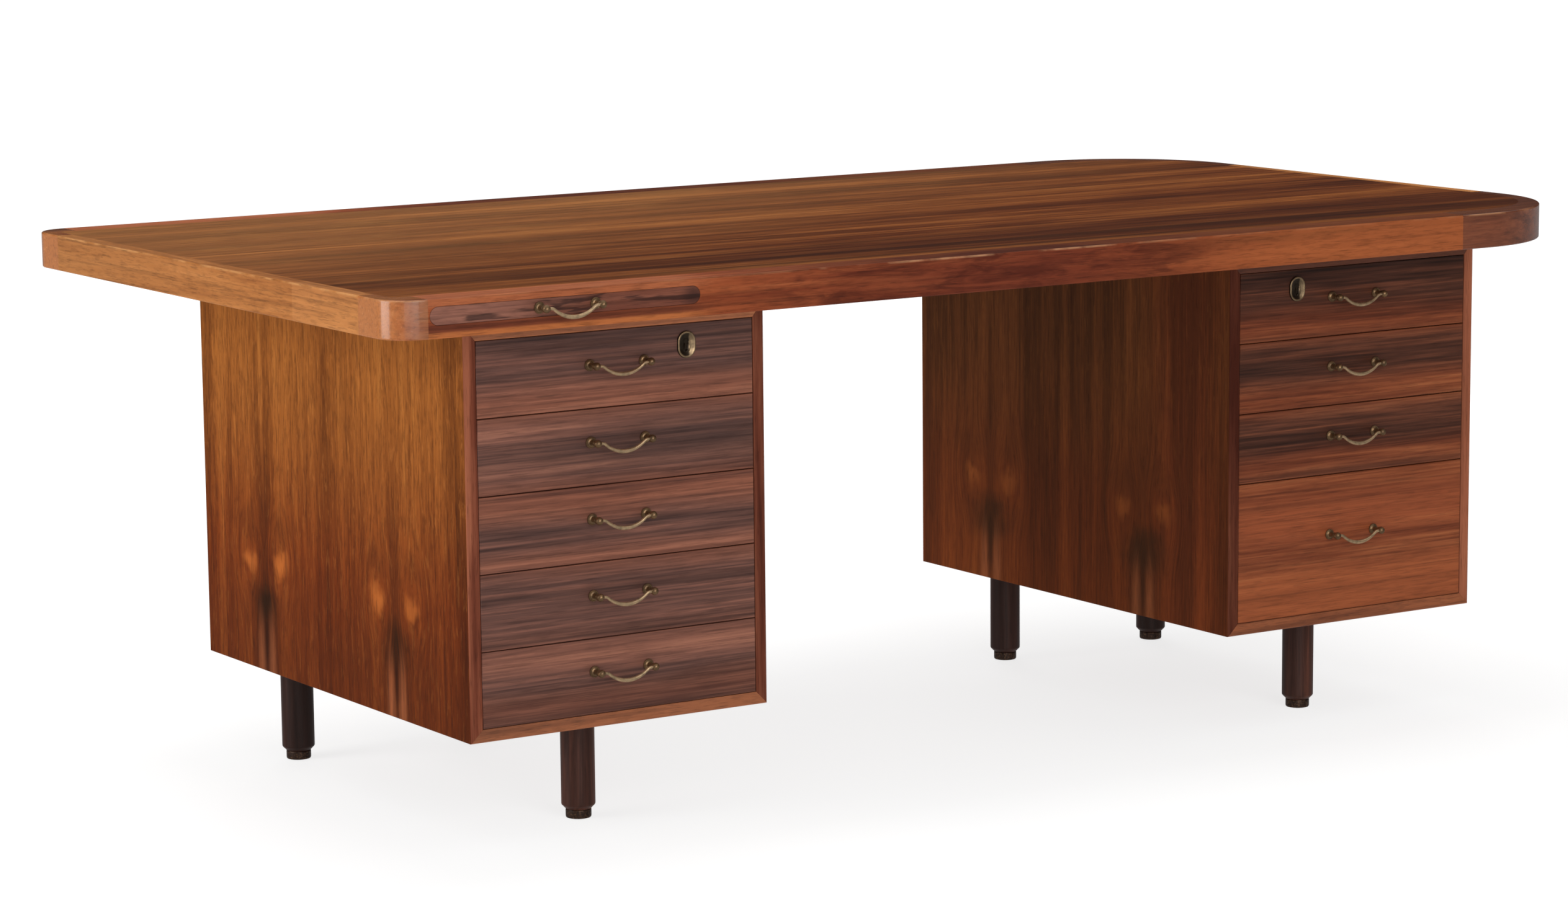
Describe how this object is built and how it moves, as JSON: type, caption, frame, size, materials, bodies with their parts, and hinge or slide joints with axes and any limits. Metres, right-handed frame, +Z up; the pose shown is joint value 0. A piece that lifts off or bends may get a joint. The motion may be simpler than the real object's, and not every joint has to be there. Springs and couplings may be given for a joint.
{
  "type": "writing desk",
  "caption": "Wide writing desk: thick round-cornered top on drawer pedestals with turned legs; drawers and a pull-out leaf slide on wooden runners and carry hinged bail pulls.",
  "frame": {"origin": "on the floor, under the middle of the bounding box", "axes": "+X along the length to the right of someone sitting at the drawers, the drawers face -Y, +Z up"},
  "size_m": [1.95, 1.0972, 0.725],
  "materials": {
    "top_veneer": "satin oiled rosewood veneer",
    "lipping": "satin oiled solid rosewood",
    "corner_wood": "satin oiled solid rosewood",
    "case_veneer": "satin rosewood veneer",
    "front_veneer": "satin rosewood veneer",
    "leaf_wood": "satin dark rosewood",
    "inner_wood": "plain sanded softwood and plywood",
    "runner_wood": "waxed beech",
    "leg_wood": "dark stained rosewood",
    "glide": "dull bronzed",
    "brass": "aged polished brass"
  },
  "bodies": {
    "desk": {"top_panel": "top_veneer", "top_underside": "inner_wood", "top_core": "inner_wood", "leaf_runners": "runner_wood", "front_lipping": "lipping", "back_lipping": "lipping", "end_lippings": "lipping", "corner_blocks": "corner_wood", "case_sides": "case_veneer", "case_tops": "case_veneer", "case_bottoms": "case_veneer", "case_backs": "case_veneer", "legs": "leg_wood", "leg_glides": "glide", "drawer_runners": "runner_wood"},
    "left_drawer_1": {"left_drawer_1_front": "front_veneer", "left_drawer_1_box": "inner_wood", "left_drawer_1_pull_posts": "brass", "left_drawer_1_lock": "brass"},
    "left_drawer_1_bail": {"left_drawer_1_pull_bail": "brass"},
    "left_drawer_1_bolt": {"left_drawer_1_lock_bolt": "brass"},
    "left_drawer_2": {"left_drawer_2_front": "front_veneer", "left_drawer_2_box": "inner_wood", "left_drawer_2_pull_posts": "brass"},
    "left_drawer_2_bail": {"left_drawer_2_pull_bail": "brass"},
    "left_drawer_3": {"left_drawer_3_front": "front_veneer", "left_drawer_3_box": "inner_wood", "left_drawer_3_pull_posts": "brass"},
    "left_drawer_3_bail": {"left_drawer_3_pull_bail": "brass"},
    "left_drawer_4": {"left_drawer_4_front": "front_veneer", "left_drawer_4_box": "inner_wood", "left_drawer_4_pull_posts": "brass"},
    "left_drawer_4_bail": {"left_drawer_4_pull_bail": "brass"},
    "left_drawer_5": {"left_drawer_5_front": "front_veneer", "left_drawer_5_box": "inner_wood", "left_drawer_5_pull_posts": "brass"},
    "left_drawer_5_bail": {"left_drawer_5_pull_bail": "brass"},
    "right_drawer_1": {"right_drawer_1_front": "front_veneer", "right_drawer_1_box": "inner_wood", "right_drawer_1_pull_posts": "brass", "right_drawer_1_lock": "brass"},
    "right_drawer_1_bail": {"right_drawer_1_pull_bail": "brass"},
    "right_drawer_1_bolt": {"right_drawer_1_lock_bolt": "brass"},
    "right_drawer_2": {"right_drawer_2_front": "front_veneer", "right_drawer_2_box": "inner_wood", "right_drawer_2_pull_posts": "brass"},
    "right_drawer_2_bail": {"right_drawer_2_pull_bail": "brass"},
    "right_drawer_3": {"right_drawer_3_front": "front_veneer", "right_drawer_3_box": "inner_wood", "right_drawer_3_pull_posts": "brass"},
    "right_drawer_3_bail": {"right_drawer_3_pull_bail": "brass"},
    "right_drawer_4": {"right_drawer_4_front": "front_veneer", "right_drawer_4_box": "inner_wood", "right_drawer_4_pull_posts": "brass"},
    "right_drawer_4_bail": {"right_drawer_4_pull_bail": "brass"},
    "leaf": {"leaf_front": "leaf_wood", "leaf_board": "inner_wood", "leaf_pull_posts": "brass"},
    "leaf_bail": {"leaf_pull_bail": "brass"}
  },
  "joints": [
    {"name": "left_drawer_1_slide", "type": "slide", "parent": "desk", "child": "left_drawer_1", "axis": [0, -1, 0], "range_m": [0, 0.4]},
    {"name": "left_drawer_1_bail_hinge", "type": "hinge", "parent": "left_drawer_1", "child": "left_drawer_1_bail", "pos_m": [-0.604, -0.44238, 0.61203], "axis": [-1, 0, 0], "range_deg": [-75, 110]},
    {"name": "left_drawer_1_bolt_slide", "type": "slide", "parent": "left_drawer_1", "child": "left_drawer_1_bolt", "axis": [0, 0, 1], "range_m": [0, 0.008]},
    {"name": "left_drawer_2_slide", "type": "slide", "parent": "desk", "child": "left_drawer_2", "axis": [0, -1, 0], "range_m": [0, 0.4]},
    {"name": "left_drawer_2_bail_hinge", "type": "hinge", "parent": "left_drawer_2", "child": "left_drawer_2_bail", "pos_m": [-0.604, -0.44238, 0.51343], "axis": [-1, 0, 0], "range_deg": [-75, 110]},
    {"name": "left_drawer_3_slide", "type": "slide", "parent": "desk", "child": "left_drawer_3", "axis": [0, -1, 0], "range_m": [0, 0.4]},
    {"name": "left_drawer_3_bail_hinge", "type": "hinge", "parent": "left_drawer_3", "child": "left_drawer_3_bail", "pos_m": [-0.604, -0.44238, 0.41483], "axis": [-1, 0, 0], "range_deg": [-75, 110]},
    {"name": "left_drawer_4_slide", "type": "slide", "parent": "desk", "child": "left_drawer_4", "axis": [0, -1, 0], "range_m": [0, 0.4]},
    {"name": "left_drawer_4_bail_hinge", "type": "hinge", "parent": "left_drawer_4", "child": "left_drawer_4_bail", "pos_m": [-0.604, -0.44238, 0.31623], "axis": [-1, 0, 0], "range_deg": [-75, 110]},
    {"name": "left_drawer_5_slide", "type": "slide", "parent": "desk", "child": "left_drawer_5", "axis": [0, -1, 0], "range_m": [0, 0.4]},
    {"name": "left_drawer_5_bail_hinge", "type": "hinge", "parent": "left_drawer_5", "child": "left_drawer_5_bail", "pos_m": [-0.604, -0.44238, 0.21763], "axis": [-1, 0, 0], "range_deg": [-75, 110]},
    {"name": "right_drawer_1_slide", "type": "slide", "parent": "desk", "child": "right_drawer_1", "axis": [0, -1, 0], "range_m": [0, 0.4]},
    {"name": "right_drawer_1_bail_hinge", "type": "hinge", "parent": "right_drawer_1", "child": "right_drawer_1_bail", "pos_m": [0.604, -0.44238, 0.61203], "axis": [-1, 0, 0], "range_deg": [-75, 110]},
    {"name": "right_drawer_1_bolt_slide", "type": "slide", "parent": "right_drawer_1", "child": "right_drawer_1_bolt", "axis": [0, 0, 1], "range_m": [0, 0.008]},
    {"name": "right_drawer_2_slide", "type": "slide", "parent": "desk", "child": "right_drawer_2", "axis": [0, -1, 0], "range_m": [0, 0.4]},
    {"name": "right_drawer_2_bail_hinge", "type": "hinge", "parent": "right_drawer_2", "child": "right_drawer_2_bail", "pos_m": [0.604, -0.44238, 0.51343], "axis": [-1, 0, 0], "range_deg": [-75, 110]},
    {"name": "right_drawer_3_slide", "type": "slide", "parent": "desk", "child": "right_drawer_3", "axis": [0, -1, 0], "range_m": [0, 0.4]},
    {"name": "right_drawer_3_bail_hinge", "type": "hinge", "parent": "right_drawer_3", "child": "right_drawer_3_bail", "pos_m": [0.604, -0.44238, 0.41483], "axis": [-1, 0, 0], "range_deg": [-75, 110]},
    {"name": "right_drawer_4_slide", "type": "slide", "parent": "desk", "child": "right_drawer_4", "axis": [0, -1, 0], "range_m": [0, 0.4]},
    {"name": "right_drawer_4_bail_hinge", "type": "hinge", "parent": "right_drawer_4", "child": "right_drawer_4_bail", "pos_m": [0.604, -0.44238, 0.27334], "axis": [-1, 0, 0], "range_deg": [-75, 110]},
    {"name": "leaf_slide", "type": "slide", "parent": "desk", "child": "leaf", "axis": [0, -1, 0], "range_m": [0, 0.4]},
    {"name": "leaf_bail_hinge", "type": "hinge", "parent": "leaf", "child": "leaf_bail", "pos_m": [-0.733, -0.54338, 0.704], "axis": [-1, 0, 0], "range_deg": [-75, 110]}
  ]
}
